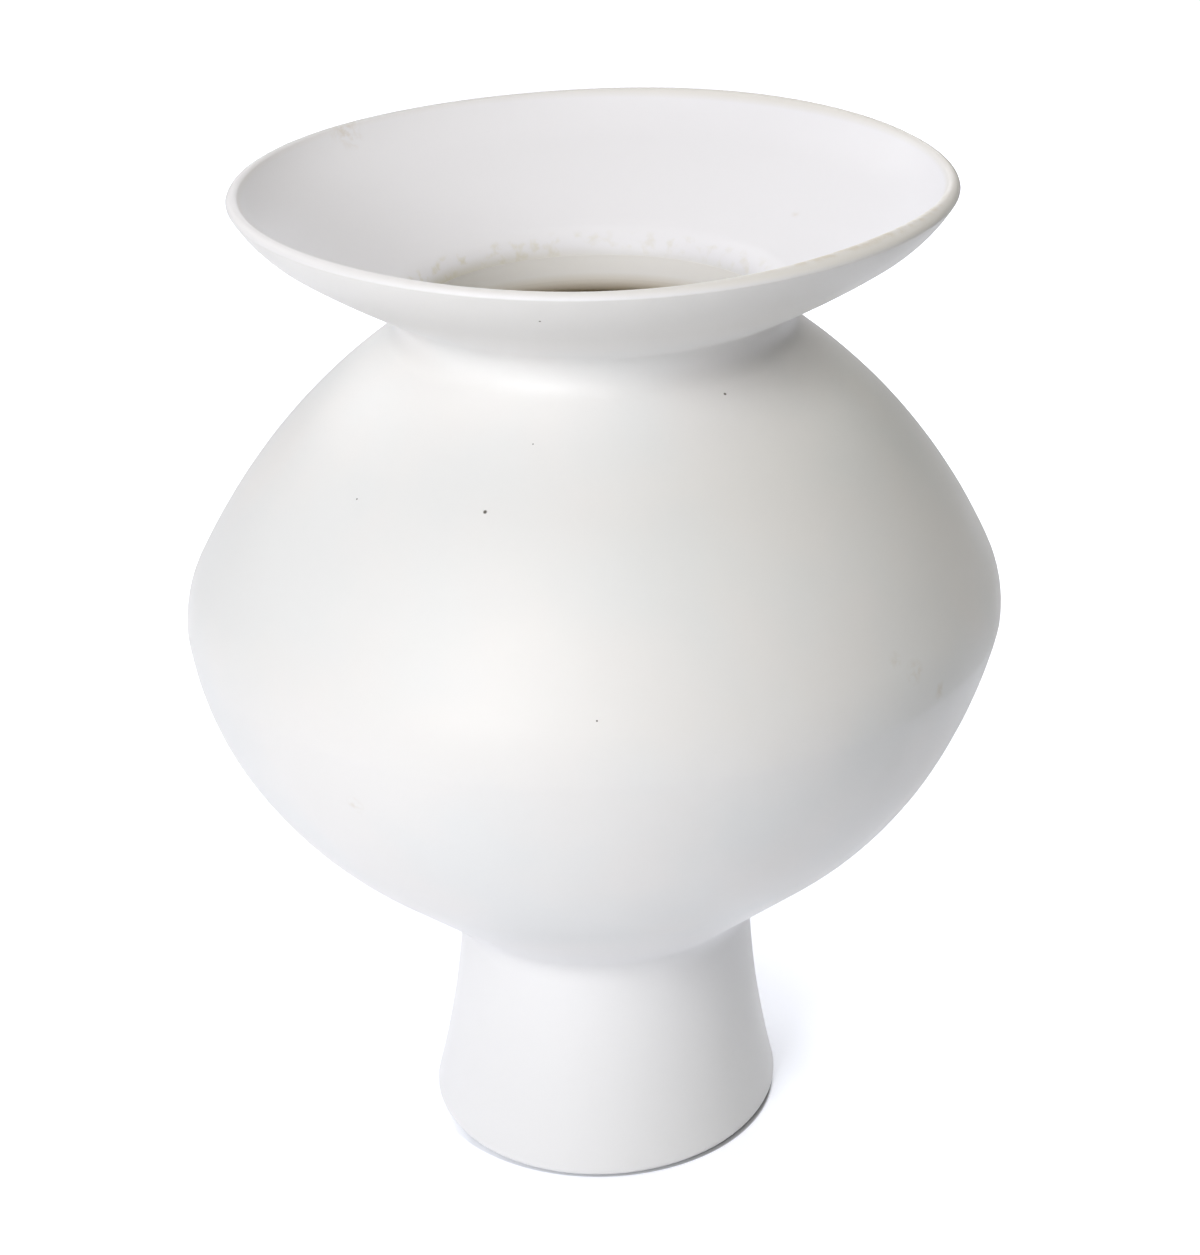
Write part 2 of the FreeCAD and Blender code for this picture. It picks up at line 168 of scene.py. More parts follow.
def off_true(x, y, z):
    """Where the potter's hand left a place of the true form."""
    angle = math.atan2(y, x)
    oval = foot_oval_share * math.cos(2 * (angle - math.radians(foot_oval_angle)))
    wide = 1 + oval * max(0.0, 1 - z / foot_oval_end) ** fade_power
    swell = sum(rise * noise.noise(Vector((x, y, z)) / width) for rise, width in skin_swells)
    wide += swell / max(math.hypot(x, y), swell_least_radius)
    start, end = rim_fade
    rising = min(max((z - start) / (end - start), 0.0), 1.0) ** fade_power
    wave = sum(c * math.cos(n * angle) + s * math.sin(n * angle) for n, c, s in rim_waves)
    lean = math.radians(read_off(section_lean, z)) * x + math.radians(rim_back_lean) * rising * y
    return Vector((x * wide + read_off(axis_drift, z), y * wide, z + lean + rising * wave))


def turned(name, stretches, touch=None):
    """A closed piece, spun about the axis. A stretch of its outline is (points, the finish that
    they get), and a touch is what the hand did to this piece alone."""
    clay = bmesh.new()
    finishes = list(dict.fromkeys(finish for points, finish in stretches))
    for slot, finish in enumerate(finishes):
        line = []
        for points, its_finish in stretches:
            if its_finish != finish:
                continue
            spots = [clay.verts.new((r * MM, 0, z * MM)) for r, z in points]
            line += spots + [clay.edges.new(pair) for pair in zip(spots, spots[1:])]
        done = len(clay.faces)
        bmesh.ops.spin(clay, geom=line, cent=(0, 0, 0), axis=(0, 0, 1), dvec=(0, 0, 0),
                       angle=math.tau, steps=wheel_steps, use_merge=True)
        clay.faces.ensure_lookup_table()
        for face in clay.faces[done:]:
            face.material_index = slot
    bmesh.ops.remove_doubles(clay, verts=clay.verts, dist=weld_gap * MM)
    for vert in clay.verts:
        x, y, z = vert.co / MM
        if touch:
            radius, angle = math.hypot(x, y), math.atan2(y, x)
            radius, z = touch(radius, angle, z)
            x, y = radius * math.cos(angle), radius * math.sin(angle)
        vert.co = off_true(x, y, z) * MM
    bmesh.ops.recalc_face_normals(clay, faces=clay.faces)
    if clay.calc_volume(signed=True) < 0:
        bmesh.ops.reverse_faces(clay, faces=clay.faces)
    for face in clay.faces:
        face.smooth = True
    for edge in clay.edges:
        edge.smooth = edge.calc_face_angle(0) < math.radians(crease_turn)
    mesh = bpy.data.meshes.new(name)
    clay.to_mesh(mesh)
    clay.free()
    for finish in finishes:
        mesh.materials.append(finish)
    piece = bpy.data.objects.new(name, mesh)
    bpy.context.scene.collection.objects.link(piece)
    return piece


def from_hex(code):
    """An sRGB hex colour as linear light."""
    parts = [int(code[i:i + 2], 16) / 255 for i in (1, 3, 5)]
    return tuple(c / 12.92 if c <= 0.04045 else ((c + 0.055) / 1.055) ** 2.4 for c in parts) + (1.0,)


def add(tree, kind, inputs=(), output=0, **settings):
    """Add a node with its settings, link or set its inputs, and give back one of its outputs. The
    inputs are a list in the node's own order, or a dictionary by name or number."""
    node = tree.nodes.new(kind)
    for key, value in settings.items():
        setattr(node, key, value)
    for key, value in inputs.items() if isinstance(inputs, dict) else enumerate(inputs):
        if isinstance(value, bpy.types.NodeSocket):
            tree.links.new(value, node.inputs[key])
        else:
            node.inputs[key].default_value = value
    return node.outputs[output] if node.outputs else None


def new_finish(name):
    """A new material, its nodes, and the place in mm that its patterns follow."""
    material = bpy.data.materials.new(name)
    material.use_nodes = True
    tree = material.node_tree
    tree.nodes.clear()
    spot = add(tree, "ShaderNodeTexCoord", output="Object")
    place = add(tree, "ShaderNodeVectorMath", {0: spot, "Scale": 1 / MM}, operation="SCALE")
    return material, tree, place


def where(tree, *limits, share=1.0):
    """How strongly a mark shows at a place. Each limit is (a reading, where the mark has gone,
    where it is whole), and the share is its strength where it is whole. The last two are kept
    as a pair, such as cloud_fade."""
    for reading, gone, whole in limits:
        share = add(tree, "ShaderNodeMapRange", {
            "Value": reading, "From Min": gone, "From Max": whole, "To Max": share})
    return share


def tinted(tree, colour, *marks):
    """A colour with marks laid over it, one after the other. A mark is (how strongly it shows,
    its colour)."""
    for share, tint in marks:
        colour = add(tree, "ShaderNodeMix", {0: share, 6: colour, 7: tint}, output=2, data_type="RGBA")
    return colour


# White stoneware
# The fired body is a plain, cool white like plaster. Its faint warmer clouds, about 55 mm wide,
# keep it from looking like paint.
cloud_width = 55.0
cloud_fade = (0.38, 0.62)


def clay_white(tree, place):
    """The white of the fired clay."""
    clouds = add(tree, "ShaderNodeTexNoise", {"Vector": place, "Scale": 1 / cloud_width})
    return tinted(tree, from_hex("#EBEBEA"), (where(tree, (clouds, *cloud_fade)), from_hex("#EEECEA")))


# Scuffs and iron specks
# Handling left brownish smudges, broken up every 3 mm or so. Iron in the clay burned out as dark
# brown points, about 1 mm wide or less.
scuff_break = 3.0
scuff_fade = (0.42, 0.62)
scuff_core_share = 0.2
speck_core_share = 0.5


def marked(tree, place, colour, scuffs, specks):
    """A colour with scuffs (place, reach, strength) and specks (place, reach) laid over it."""
    breaks = add(tree, "ShaderNodeTexNoise", {"Vector": place, "Scale": 1 / scuff_break, "Detail": 4.0})
    for spot, reach, strength in scuffs:
        apart = add(tree, "ShaderNodeVectorMath", [place, spot], "Value", operation="DISTANCE")
        worn = where(tree, (apart, reach, reach * scuff_core_share), (breaks, *scuff_fade), share=strength)
        colour = tinted(tree, colour, (worn, from_hex("#CDBFA8")))
    for spot, reach in specks:
        apart = add(tree, "ShaderNodeVectorMath", [place, spot], "Value", operation="DISTANCE")
        iron = where(tree, (apart, reach, reach * speck_core_share))
        colour = tinted(tree, colour, (iron, from_hex("#5F5951")))
    return colour


# Hand-smoothed surface
# Rubbed with a damp hand before firing, the clay is satin, a little shinier and duller in patches
# about 30 mm wide. Its real grain, finer than 0.2 mm, is drawn at 0.6 mm so that it shows at all.
sheen_patch = 30.0
sheen_fade = (0.3, 0.7)
sheen_roughness = (0.49, 0.57)
smooth_grain = 0.6
smooth_grain_depth = 0.02


def hand_smoothed(tree, place, colour):
    """Close a material with the satin surface that the hand left."""
    patches = add(tree, "ShaderNodeTexNoise", {"Vector": place, "Scale": 1 / sheen_patch, "Detail": 3.0})
    sheen = add(tree, "ShaderNodeMapRange", [patches, *sheen_fade, *sheen_roughness])
    grain = add(tree, "ShaderNodeTexNoise", {"Vector": place, "Scale": 1 / smooth_grain})
    relief = add(tree, "ShaderNodeBump", {
        "Height": grain, "Strength": 0.15, "Distance": smooth_grain_depth * MM})
    shader = add(tree, "ShaderNodeBsdfPrincipled", {
        "Base Color": colour, "Roughness": sheen, "IOR": 1.5, "Normal": relief})
    add(tree, "ShaderNodeOutputMaterial", [shader])


# Matt white stoneware, for what shows from the foot up to the neck
# A satin white, painted a little lighter on the foot as painted light bounced up from the floor. It has
# three scuffs at the ridge, one lower on the left, and five iron specks, each where the photo shows it.
foot_painted_light_fade = (125.0, 90.0)
belly_scuffs = (
    ((104.8, -98.9, 218.6), 5.0, 0.3), ((97.7, -102.3, 224.7), 3.5, 0.25),
    ((114.3, -91.1, 208.0), 4.0, 0.3), ((-79.2, -118.6, 184.1), 4.0, 0.3))
belly_specks = (
    ((-34.0, -97.6, 277.8), 0.8), ((-76.8, -73.8, 273.5), 0.4), ((-18.4, -83.1, 295.0), 0.3),
    ((44.3, -62.4, 303.2), 0.6), ((0.3, -141.2, 224.4), 0.4))
white_clay, tree, place = new_finish("matt_white_stoneware")
height = add(tree, "ShaderNodeSeparateXYZ", [place], "Z")
# Painted light: the foot is painted lighter, for the light that the floor bounces onto it.
foot_painted_light = where(tree, (height, *foot_painted_light_fade))
colour = tinted(tree, clay_white(tree, place), (foot_painted_light, from_hex("#F4F3F3")))
hand_smoothed(tree, place, marked(tree, place, colour, belly_scuffs, belly_specks))

# Bare fired clay, for the sole, the inside and what the joints hide
# Clay that no hand smoothed is creamier and drier, mottled every 12 mm or so. Its real grit, about
# 0.3 mm, is drawn at 0.9 mm so that it shows.
mottle_width = 12.0
mottle_fade = (0.35, 0.65)
grit_width = 0.9
grit_depth = 0.1
bare_clay, tree, place = new_finish("bare_fired_clay")
mottle = add(tree, "ShaderNodeTexNoise", {"Vector": place, "Scale": 1 / mottle_width, "Detail": 4.0})
cream = tinted(tree, from_hex("#D8CFC2"), (where(tree, (mottle, *mottle_fade)), from_hex("#E2DACE")))
grit = add(tree, "ShaderNodeTexNoise", {"Vector": place, "Scale": 1 / grit_width, "Detail": 3.0})
relief = add(tree, "ShaderNodeBump", {"Height": grit, "Strength": 0.5, "Distance": grit_depth * MM})
shader = add(tree, "ShaderNodeBsdfPrincipled", {
    "Base Color": cream, "Roughness": 0.85, "IOR": 1.5, "Normal": relief})
add(tree, "ShaderNodeOutputMaterial", [shader])

foot = turned("turned_foot", [
    (outer_edge + foot_flank[1:], white_clay),
    (straight(foot_flank[-1], bore_top), bare_clay),
    (straight(bore_top, bore_base), bare_clay),
    (inner_edge, bare_clay),
    (straight(sole_inner, sole_outer), bare_clay),
])
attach(foot, "root")
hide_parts("pedestal_foot")

# Slip in the foot's joint
# A thin coat of liquid clay that glues the belly onto the foot. What squeezed out was wiped
# with a finger to a soft bead in the corner, and fired white with the rest.
bowl_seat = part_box("lower_bowl")[0].z / MM
bowl_foot_radius = 55.1
flank_rise = 40.57
bead_radius = 13.7
bead_drop = 6.3
bead_run = 6.0
flank_under_bead = part_of(foot_flank, foot_height - bead_drop, foot_height)
bowl_over_bead = pen((bowl_foot_radius, bowl_seat), flank_rise, [(bead_run,)])
bead = bow(flank_under_bead[0], bowl_over_bead[-1], -bead_radius, step=0.6, turn_step=5.0)
foot_slip = turned("foot_slip", [
    (bead, white_clay),
    (straight(bore_top, foot_flank[-1]), bare_clay),
    (flank_under_bead[::-1], bare_clay),
    (bowl_over_bead[::-1], bare_clay),
    (straight(bowl_over_bead[0], (bore_top[0], bowl_seat)), bare_clay),
    (straight((bore_top[0], bowl_seat), bore_top), bare_clay),
])
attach(foot_slip, "root")
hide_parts("foot_joint_slip")

# Coil inside the foot
# A roll of soft clay, thumbed into the corner between the foot's bore and the belly's base so
# that the joint doesn't crack as it dries. It shows only from below.
foot_coil_reach = 9.0
bore_run = (Vector(bore_base) - Vector(bore_top)).normalized()
foot_coil_foot = Vector(bore_top) + bore_run * foot_coil_reach
foot_coil_radius = (bowl_seat - foot_coil_foot.y) / (1 - bore_run.x)
foot_coil_top = (foot_coil_foot.x + foot_coil_radius * bore_run.y, bowl_seat)
foot_coil = turned("foot_coil_roll", [
    (straight(foot_coil_foot, bore_top), bare_clay),
    (straight(bore_top, (bore_top[0], bowl_seat)), bare_clay),
    (straight((bore_top[0], bowl_seat), foot_coil_top), bare_clay),
    (bow(foot_coil_top, foot_coil_foot, -foot_coil_radius, step=1.0, turn_step=8.0), bare_clay),
])
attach(foot_coil, "root")
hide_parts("foot_coil")

# Lower bowl
# The lower half of the belly, thrown as an open bowl with the jar's floor in it. Its flank is
# nearly straight above the foot, swells, and stands upright in a soft ridge at the waist.
waist_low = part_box("waist_joint_slip")[0].z / MM
waist_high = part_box("upper_bowl")[0].z / MM
flank_length = 57.9
bowl_wall = 6.0
floor_thickness = 8.0
floor_step = 4.0
waist_bevel = 2.0

# The belly's outline is a straight flank and four arcs, each as (radius, turn in degrees). The
# upper two are the upper bowl's.
lower_swell = (139.44, 40.24)
lower_ridge = (17.57, 9.19)
upper_ridge = (39.45, 25.68)
shoulder = (219.4, 30.45)


def inset(line, depth):
    """The same outline, moved to its left by a depth."""
    moved = []
    for i, place in enumerate(line):
        along = line[min(i + 1, len(line) - 1)] - line[max(i - 1, 0)]
        moved.append(place + Vector((-along.y, along.x)).normalized() * depth)
    return moved


belly_line = pen((bowl_foot_radius, bowl_seat), flank_rise,
                 [(flank_length,), lower_swell, lower_ridge, upper_ridge, shoulder])
inner_line = inset(belly_line, bowl_wall)
floor_top = bowl_seat + floor_thickness
lower_outside = part_of(belly_line, bowl_seat, waist_low)
lower_inside = part_of(inner_line, floor_top, waist_low + waist_bevel)
lower_bowl = turned("thrown_lower_bowl", [
    (lower_outside, white_clay),
    (straight((0, bowl_seat), (bowl_foot_radius, bowl_seat), floor_step), bare_clay),
    (straight(lower_outside[-1], lower_inside[-1]), bare_clay),
    (lower_inside[::-1], bare_clay),
    (straight(lower_inside[0], (0, floor_top), floor_step), bare_clay),
])
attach(lower_bowl, "root")
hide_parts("lower_bowl")

# Slip in the waist
# The coat of liquid clay between the bevelled rims of the two bowls, scraped flush outside, so
# that the belly reads as one form.
throat_radius = 62.5
neck_radius = 67.0

# The upper bowl is drawn here, because the slip ends at its rim. Its wall is thick at the throat,
# where the inside leaves the outside's line and turns up with a soft corner.
thickened_radius = 84.0
throat_foot = 300.0
throat_corner_out = 4.0
throat_corner_drop = 1.6
throat_corner_lift = 3.0
throat_corner_radius = 5.0
upper_outside = part_of(part_of(belly_line, waist_high), neck_radius, axis=0)
ceiling = part_of(part_of(inner_line, waist_high + waist_bevel), thickened_radius, axis=0)
throat_corner = (throat_radius + throat_corner_out, throat_foot - throat_corner_drop)
ceiling += straight(ceiling[-1], throat_corner)[1:]
upper_inside = ceiling + bow(ceiling[-1], (throat_radius, throat_foot + throat_corner_lift),
                             -throat_corner_radius, step=0.8, turn_step=6.0)[1:]
waist_slip = turned("waist_slip", [
    ([lower_outside[-1], upper_outside[0]], white_clay),
    (straight(upper_outside[0], upper_inside[0]), bare_clay),
    ([upper_inside[0], lower_inside[-1]], bare_clay),
    (straight(lower_inside[-1], lower_outside[-1]), bare_clay),
])
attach(waist_slip, "root")
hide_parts("waist_joint_slip")

# Coil inside the waist
# A roll of soft clay smoothed over the joint of the two bowls on the inside. It leaves a low
# swelling under the glaze.
waist_coil_reach = 7.5
waist_coil_radius = 20.0
coil_low = waist_low - waist_coil_reach
coil_high = waist_high + waist_coil_reach
coil_seat = part_of(inner_line, coil_low, coil_high)
coil_face = bow(coil_seat[0], coil_seat[-1], -waist_coil_radius)
waist_coil = turned("waist_coil_roll", [(coil_seat[::-1], bare_clay), (coil_face, bare_clay)])
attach(waist_coil, "root")
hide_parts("waist_coil")

# Upper bowl
# The upper half of the belly, thrown as a second bowl, turned over onto the first and cut open
# at the top. Its shoulder runs up to the neck in one long, nearly straight sweep.
neck_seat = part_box("neck_joint_slip")[0].z / MM
upper_bowl = turned("thrown_upper_bowl", [
    (upper_outside, white_clay),
    (straight(upper_outside[-1], (throat_radius, neck_seat)), bare_clay),
    (straight((throat_radius, neck_seat), upper_inside[-1]), bare_clay),
    (upper_inside[::-1], bare_clay),
    (straight(upper_inside[0], upper_outside[0]), bare_clay),
])
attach(upper_bowl, "root")
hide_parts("upper_bowl")

# Slip in the neck's joint
# The coat of liquid clay between the cut edge of the upper bowl and the mouth's collar. The coil
# around the neck hides it.
collar_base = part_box("flared_mouth")[0].z / MM
neck_slip = turned("neck_slip", [
    (straight(upper_outside[-1], (neck_radius, collar_base), step=0.5), white_clay),
    (straight((neck_radius, collar_base), (throat_radius, collar_base)), bare_clay),
    (straight((throat_radius, collar_base), (throat_radius, neck_seat)), bare_clay),
    (straight((throat_radius, neck_seat), upper_outside[-1]), bare_clay),
])
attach(neck_slip, "root")
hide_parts("neck_joint_slip")

# Flared mouth
# A wide dish without a floor, thrown by itself and set on the neck. It flares on a long line,
# curls up towards its lip, and rolls over into the throat. The lip is left thick, most of all
# on its right and front, where it is worn.
flare_start = (neck_radius, 316.92)
flare_rise = 25.15
flare_radius = 287.8
flare_turn = 9.75
curl_radius = 49.75
curl_turn = 24.8
lip_wall = 4.2
lip_outer_edge = 0.5
lip_inner_edge = 1.8
lip_edge_turn = 40.0
throat_roll = 13.5
thick_angle = -42.0
thick_spread = 27.0
thick_share = 0.5
thick_from = 335.0
thick_to = 357.0

# The lip goes round its outer edge, its crown and its inner edge, as one half turn.
curl_rise = flare_rise + flare_turn
lip_rise = curl_rise + curl_turn
flare_line = pen(flare_start, flare_rise, [(flare_radius, flare_turn), (curl_radius, curl_turn)])
edges_width = (lip_outer_edge + lip_inner_edge) * (1 - math.cos(math.radians(lip_edge_turn)))
crown_radius = (lip_wall - edges_width) / 2 / math.cos(math.radians(lip_edge_turn))
lip_line = pen(flare_line[-1], lip_rise, [
    (lip_outer_edge, lip_edge_turn), (crown_radius, 180 - 2 * lip_edge_turn),
    (lip_inner_edge, lip_edge_turn)], step=0.4, turn_step=8.0)

# The dish keeps the lip's wall inside the flare and the curl. The roll into the throat touches
# both the flare's inside and the throat.
flare_centre = Vector(flare_start) + towards(flare_rise + 90) * flare_radius
curl_centre = flare_centre - towards(curl_rise + 90) * (flare_radius - curl_radius)
roll_reach = flare_radius - lip_wall + throat_roll
roll_out = throat_radius + throat_roll - flare_centre.x
roll_height = flare_centre.y - math.sqrt(roll_reach ** 2 - roll_out ** 2)
roll_rise = math.degrees(math.asin(roll_out / roll_reach))
inner_curl_radius = curl_radius - lip_wall
lip_drop = (lip_inner_edge - lip_outer_edge) * math.sin(math.radians(lip_edge_turn))
dish_line = pen((throat_radius, collar_base), 90, [
    (roll_height - collar_base,), (-throat_roll, 90 - roll_rise),
    (flare_radius - lip_wall, curl_rise - roll_rise),
    (inner_curl_radius, curl_turn - math.degrees(lip_drop / inner_curl_radius))])


def thick_lip(radius, angle, height):
    """The lip is thicker at one side: its inner face stands further in."""
    away = (math.degrees(angle) - thick_angle + 180) % 360 - 180
    extra = lip_wall * thick_share * math.exp(-(away / thick_spread) ** 2)
    reach = math.hypot(radius - curl_centre.x, height - curl_centre.y)
    across = min(max((curl_radius - reach) / lip_wall, 0.0), 1.0)
    rise = min(max((height - thick_from) / (thick_to - thick_from), 0.0), 1.0)
    inwards = towards(lip_rise + 90) * extra * across * rise * rise * (3 - 2 * rise)
    return radius + inwards.x, height + inwards.y


# Worn white stoneware with painted light and shade, for the mouth
# The same clay, marked by use. The dish, what faces up above a cone of this slope, is painted a
# lighter, cooler white as painted light from above. The underside, facing down, is painted a little
# darker as painted shade. Here the jar's axis stands 2.5 mm to the right, and radii are measured from it.
dish_slope = -0.47
dish_fade = (282.4, 286.4)
facing_up = (-0.1, 0.3)
facing_down = (-0.1, -0.4)
underside_shade_fade = (324.0, 336.0)
off_centre = (2.5, 0.0, 0.0)
mouth_scuffs = (((74.9, 45.3, 331.5), 2.5, 0.25), ((-87.4, 78.6, 357.3), 9.0, 0.35))
mouth_specks = (((-14.4, -115.7, 347.1), 0.5), ((-10.5, 61.2, 316.7), 0.6))
worn_and_shaded_clay, tree, place = new_finish("worn_and_shaded_white_stoneware")
axes = add(tree, "ShaderNodeSeparateXYZ", [place]).node.outputs
facing = add(tree, "ShaderNodeSeparateXYZ", [add(tree, "ShaderNodeNewGeometry", output="Normal")], "Z")
flat = add(tree, "ShaderNodeVectorMath", [place, (1.0, 1.0, 0.0)], operation="MULTIPLY")
radius = add(tree, "ShaderNodeVectorMath", [flat, off_centre], "Value", operation="DISTANCE")
above = add(tree, "ShaderNodeMath", [radius, dish_slope, axes["Z"]], operation="MULTIPLY_ADD")
# Painted light and shade: the dish, facing up, is painted a lighter, cooler white, and the underside,
# facing down, a little darker.
dish_painted_light = where(tree, (above, *dish_fade), (facing, *facing_up))
underside_painted_shade = where(tree, (axes["Z"], *underside_shade_fade), (facing, *facing_down))

# The lip is rubbed to a warmer white all round, which also serves as painted shade that dims its
# crown, most on its right. A yellow-brown line, broken every 4 mm or so, runs along its inner edge at
# the right and front. Levels follow the rim's lean.
lip_tilt = (-0.0052, -0.0080, 1.0)
rubbed_shade_fade = (356.6, 358.8)
rubbed_shade_side = (-90.0, 50.0)
rubbed_shade_shares = (0.2, 0.55)
line_middle = (88.0, -80.0, 360.0)
line_reach = (80.0, 35.0)
line_level = (359.0, 360.0)
line_radius = (122.5, 120.5)
line_break = 4.0
line_fade = (0.4, 0.6)
line_share = 0.35
level = add(tree, "ShaderNodeVectorMath", [place, lip_tilt], "Value", operation="DOT_PRODUCT")
# The rubbed mark is partly wear and partly painted shade that dims the lip's crown, most on its right.
rubbing_and_shade = add(tree, "ShaderNodeMapRange", [axes["X"], *rubbed_shade_side, *rubbed_shade_shares])
rubbed_and_shaded = where(tree, (level, *rubbed_shade_fade), share=rubbing_and_shade)
along = add(tree, "ShaderNodeVectorMath", [place, line_middle], "Value", operation="DISTANCE")
breaks = add(tree, "ShaderNodeTexNoise", {"Vector": place, "Scale": 1 / line_break, "Detail": 3.0})
lip_stain = where(tree, (along, *line_reach), (level, *line_level), (radius, *line_radius),
                  (breaks, *line_fade), share=line_share)

# Old water left a yellow-olive tide in the throat, stronger at its left, and marks on the roll
# above it, broken every 5 mm or so.
water_middle = (-62.0, 20.0, 315.0)
tide_reach = (85.0, 20.0)
tide_radius = (66.5, 64.0)
tide_height = (317.5, 313.0)
tide_share = 0.4
marks_reach = (85.0, 33.0)
marks_shares = (0.16, 0.36)
marks_inner_radius = (62.2, 63.0)
marks_outer_radius = (67.2, 65.5)
marks_height = (311.0, 314.0)
marks_break = 5.0
marks_fade = (0.52, 0.68)
side = add(tree, "ShaderNodeVectorMath", [place, water_middle], "Value", operation="DISTANCE")
tide = where(tree, (side, *tide_reach), (radius, *tide_radius), (axes["Z"], *tide_height),
             share=tide_share)
breaks = add(tree, "ShaderNodeTexNoise", {"Vector": place, "Scale": 1 / marks_break, "Detail": 4.0})
dried = add(tree, "ShaderNodeMapRange", [side, *marks_reach, *marks_shares])
water_marks = where(tree, (radius, *marks_inner_radius), (radius, *marks_outer_radius),
                    (axes["Z"], *marks_height), (breaks, *marks_fade), share=dried)

colour = tinted(tree, clay_white(tree, place), (dish_painted_light, from_hex("#EFEEF1")), (underside_painted_shade, from_hex("#E6E4E1")),
                (rubbed_and_shaded, from_hex("#DFDACE")), (lip_stain, from_hex("#C8B894")),
                (tide, from_hex("#D2C8A2")), (water_marks, from_hex("#CBC190")))
hand_smoothed(tree, place, marked(tree, place, colour, mouth_scuffs, mouth_specks))

mouth = turned("thrown_flared_mouth", [
    (straight((neck_radius, collar_base), flare_start), worn_and_shaded_clay),
    (flare_line, worn_and_shaded_clay),
    (lip_line + dish_line[::-1], worn_and_shaded_clay),
    (straight((throat_radius, collar_base), (neck_radius, collar_base)), worn_and_shaded_clay),
], touch=thick_lip)
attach(mouth, "root")
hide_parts("flared_mouth")

# Coil around the neck
# A roll of soft clay worked round the outside of the neck with a fingertip, to a smooth hollow
# that carries the shoulder into the flare.
neck_coil_low = 72.8
neck_coil_high = 73.8
neck_coil_radius = 9.0
shoulder_seat = part_of(part_of(belly_line, waist_high), neck_radius, neck_coil_low, axis=0)
flare_seat = part_of(flare_line, neck_radius, neck_coil_high, axis=0)
neck_hollow = bow(shoulder_seat[0], flare_seat[-1], -neck_coil_radius, step=0.7, turn_step=4.0)
neck_coil = turned("neck_coil_roll", [
    (neck_hollow, white_clay),
    (flare_seat[::-1], bare_clay),
    (straight(flare_start, shoulder_seat[-1]), bare_clay),
    (shoulder_seat[::-1], bare_clay),
])
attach(neck_coil, "root")
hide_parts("neck_coil")

# Liner glaze
# A clear glaze poured inside and out again, so that the porous clay holds water. It coats the
# whole hollow of the belly and thins to nothing just below the throat's roll.
glaze_thickness = 0.6
glaze_thinnest_share = 0.1
glaze_feather = 9.0
glaze_over_collar = 3.0
pool_width = 25.0
pool_fade = (0.35, 0.65)
deep_fade = (306.5, 297.5)
gloss_fade = (312.5, 303.0)
gloss_roughness = (0.5, 0.25)

# The glaze is glossy where it lies thick, and pools in patches of a deeper cream, about 25 mm
# wide. Where it thins out, the white clay shows and the gloss goes.
liner_gloss, tree, place = new_finish("glossy_liner_glaze")
height = add(tree, "ShaderNodeSeparateXYZ", [place], "Z")
pools = add(tree, "ShaderNodeTexNoise", {"Vector": place, "Scale": 1 / pool_width})
deep = tinted(tree, from_hex("#C6B38F"), (where(tree, (pools, *pool_fade)), from_hex("#CFBE9D")))
cream = tinted(tree, from_hex("#F8F6F2"), (where(tree, (height, *deep_fade)), deep))
gloss = add(tree, "ShaderNodeMapRange", [height, *gloss_fade, *gloss_roughness])
shader = add(tree, "ShaderNodeBsdfPrincipled", {"Base Color": cream, "Roughness": gloss, "IOR": 1.5})
add(tree, "ShaderNodeOutputMaterial", [shader])

glaze_top = collar_base + glaze_over_collar
glaze_seat = (straight((0, floor_top), lower_inside[0], floor_step)
              + part_of(lower_inside, floor_top, coil_low)[1:]
              + coil_face[1:-1]
              + part_of(upper_inside, coil_high)
              + straight(upper_inside[-1], (throat_radius, glaze_top), step=1.0)[1:])
glaze_face = inset(glaze_seat, glaze_thickness)
for i, seat in enumerate(glaze_seat):
    thin = min(max((glaze_top - seat.y) / glaze_feather, glaze_thinnest_share), 1.0)
    glaze_face[i] = seat.lerp(glaze_face[i], thin)
glaze_face[0] = Vector((0, floor_top + glaze_thickness))
glaze_face[-1] = Vector((throat_radius - glaze_thickness * glaze_thinnest_share, glaze_top))
liner = turned("poured_liner", [
    (glaze_seat, liner_gloss),
    (straight(glaze_seat[-1], glaze_face[-1]), liner_gloss),
    (glaze_face[::-1], liner_gloss),
])
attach(liner, "root")
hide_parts("liner_glaze")

# Floor
# A plain pale studio floor, 12 m across, so that no edge of it shows.
floor_reach = 6.0
floor_mesh = bpy.data.meshes.new("floor")
plane = bmesh.new()
bmesh.ops.create_grid(plane, x_segments=1, y_segments=1, size=floor_reach)
plane.to_mesh(floor_mesh)
plane.free()
floor = bpy.data.objects.new("floor", floor_mesh)
bpy.context.scene.collection.objects.link(floor)

# Matt white floor paint
# Diffuse, so that it takes the jar's soft shadow. For the camera and for reflections it also glows,
# least beside the foot, so that it reads as white. A painted shadow darkens the paint in a thin band
# under the foot's edge, more so towards its right.
painted_shadow_centre = (-0.9, -4.6, 0.0)
painted_shadow_reach = (67.2, 66.3)
painted_shadow_side = (-62.0, -50.0)
painted_shadow_dark_side = (-45.0, 45.0)
near_glow = 0.36
far_glow = 0.8
far_glow_fade = (80.0, 240.0)
floor_white, tree, place = new_finish("matt_white_floor")
rays = add(tree, "ShaderNodeLightPath").node.outputs
across = add(tree, "ShaderNodeSeparateXYZ", [place], "X")
apart = add(tree, "ShaderNodeVectorMath", [place], "Value", operation="LENGTH")
from_foot = add(tree, "ShaderNodeVectorMath", [place, painted_shadow_centre], "Value", operation="DISTANCE")
